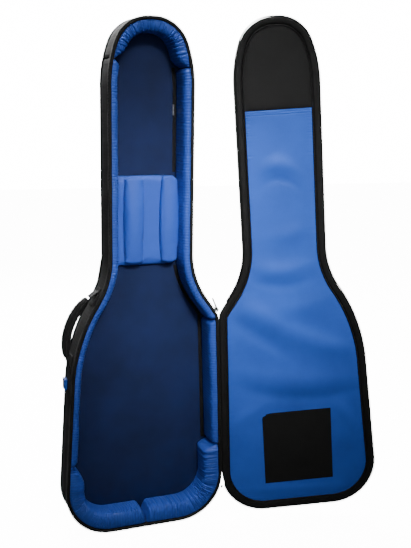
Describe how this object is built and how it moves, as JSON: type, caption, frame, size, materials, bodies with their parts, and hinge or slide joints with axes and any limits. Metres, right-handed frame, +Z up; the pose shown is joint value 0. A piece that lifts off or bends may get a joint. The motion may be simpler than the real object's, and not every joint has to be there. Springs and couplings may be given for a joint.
{
  "type": "padded gig bag",
  "caption": "Long padded soft case for a bass guitar, shown unzipped with its lid swung open, a lined tray with bolsters and a neck rest.",
  "frame": {"origin": "on the underside of the rubber base plate, on the centre line of the neck stretch and half way through the depth of the tray", "axes": "+Z up the length of the bag to the head, +X across to the hinge side, +Y from the opening towards the back and its straps"},
  "size_m": [0.8012, 0.2307, 1.2651],
  "materials": {
    "shell_nylon": "matte woven nylon over foam",
    "bolster_satin": "satin sheen, gathered",
    "lining_blue": "short pile velour",
    "rest_plush": "short pile velour over foam",
    "trim_tape": "matte grosgrain tape",
    "zip_coil": "coil zip chain",
    "base_rubber": "matte moulded rubber",
    "label_white": "printed satin tape, blank",
    "webbing": "woven polypropylene webbing",
    "buckle_plastic": "satin moulded plastic",
    "hardware_metal": "dark gunmetal plate",
    "head_pad_cloth": "fine matte nylon",
    "scuff_vinyl": "matte vinyl cloth",
    "strap_mesh": "spacer mesh over foam"
  },
  "bodies": {
    "tray": {"back_panel": "shell_nylon", "floor_pad": "lining_blue", "floor_binding": "trim_tape", "gusset_base": "shell_nylon", "gusset_bass_side": "shell_nylon", "gusset_head": "shell_nylon", "gusset_treble_side": "shell_nylon", "gusset_hinge_side": "shell_nylon", "rim_binding": "trim_tape", "tray_zip_tape": "trim_tape", "tray_zip_chain": "zip_coil", "zip_end_stops": "hardware_metal", "base_plate_rubber": "base_rubber", "bolster_head": "bolster_satin", "bolster_bass_side": "bolster_satin", "bolster_treble_upper": "bolster_satin", "bolster_treble_lower": "bolster_satin", "bolster_base_left": "bolster_satin", "bolster_base_right": "bolster_satin", "neck_rest_base": "rest_plush", "neck_rest_left_pad": "rest_plush", "neck_rest_right_pad": "rest_plush", "care_label": "label_white", "side_tab": "lining_blue", "side_handle_patches": "shell_nylon", "haul_handle_patches": "shell_nylon", "strap_yoke": "shell_nylon", "shoulder_strap_left": "strap_mesh", "shoulder_strap_right": "strap_mesh", "strap_webbing_left": "webbing", "strap_webbing_right": "webbing", "strap_rings": "hardware_metal", "strap_anchors": "webbing", "hinge_fabric": "shell_nylon"},
    "lid": {"lid_shell": "shell_nylon", "lid_frame_band": "shell_nylon", "lid_piping": "trim_tape", "lid_lining": "lining_blue", "lid_head_pad": "head_pad_cloth", "scuff_patch": "scuff_vinyl", "lid_zip_tape": "trim_tape", "lid_zip_chain": "zip_coil", "lid_zip_foot": "zip_coil", "large_pocket": "shell_nylon", "large_pocket_zip": "trim_tape", "small_pocket": "shell_nylon", "small_pocket_zip": "trim_tape"},
    "side_handle": {"side_handle_grip": "shell_nylon", "side_handle_webbing": "webbing"},
    "haul_handle": {"haul_handle": "webbing"},
    "adjuster_left": {"strap_adjuster_left": "buckle_plastic"},
    "adjuster_right": {"strap_adjuster_right": "buckle_plastic"},
    "upper_slider": {"upper_slider": "hardware_metal"},
    "upper_pull": {"upper_pull": "hardware_metal"},
    "large_pocket_slider": {"large_pocket_slider": "hardware_metal"},
    "large_pocket_pull": {"large_pocket_pull": "hardware_metal"},
    "small_pocket_slider": {"small_pocket_slider": "hardware_metal"},
    "small_pocket_pull": {"small_pocket_pull": "hardware_metal"}
  },
  "joints": [
    {"name": "lid_hinge", "type": "hinge", "parent": "tray", "child": "lid", "pos_m": [0.196, -0.0424, 0.003], "axis": [0.0409, 0, -0.9992], "range_deg": [-15, 164]},
    {"name": "side_handle_swing", "type": "hinge", "parent": "tray", "child": "side_handle", "pos_m": [-0.199, 0, 0.44], "axis": [0.3499, 0, 0.9368], "range_deg": [-28, 28]},
    {"name": "haul_handle_swing", "type": "hinge", "parent": "tray", "child": "haul_handle", "pos_m": [0, 0.048, 1.08], "axis": [0, 0, 1], "range_deg": [-35, 35]},
    {"name": "adjuster_left_slide", "type": "slide", "parent": "tray", "child": "adjuster_left", "axis": [-0.1344, 0, -0.9909], "range_m": [0, 0.24]},
    {"name": "adjuster_right_slide", "type": "slide", "parent": "tray", "child": "adjuster_right", "axis": [0.1344, 0, -0.9909], "range_m": [0, 0.24]},
    {"name": "upper_slider_run", "type": "slide", "parent": "tray", "child": "upper_slider", "axis": [-0.5789, 0, 0.8154], "range_m": [0, 0.032]},
    {"name": "upper_pull_swing", "type": "hinge", "parent": "upper_slider", "child": "upper_pull", "pos_m": [0.16888, -0.0424, 0.55844], "axis": [0, 1, 0], "range_deg": [-12, 50]},
    {"name": "large_pocket_slider_run", "type": "slide", "parent": "lid", "child": "large_pocket_slider", "axis": [0.958, -0.2754, 0.0802], "range_m": [0, 0.262]},
    {"name": "large_pocket_pull_swing", "type": "hinge", "parent": "large_pocket_slider", "child": "large_pocket_pull", "pos_m": [0.2299, -0.02059, 0.44593], "axis": [-0.0802, 0.0113, 0.9967], "range_deg": [-12, 150]},
    {"name": "small_pocket_slider_run", "type": "slide", "parent": "lid", "child": "small_pocket_slider", "axis": [0.958, -0.2754, 0.0802], "range_m": [0, 0.12]},
    {"name": "small_pocket_pull_swing", "type": "hinge", "parent": "small_pocket_slider", "child": "small_pocket_pull", "pos_m": [0.25412, -0.03412, 1.00787], "axis": [-0.0802, 0.0113, 0.9967], "range_deg": [-12, 150]}
  ]
}
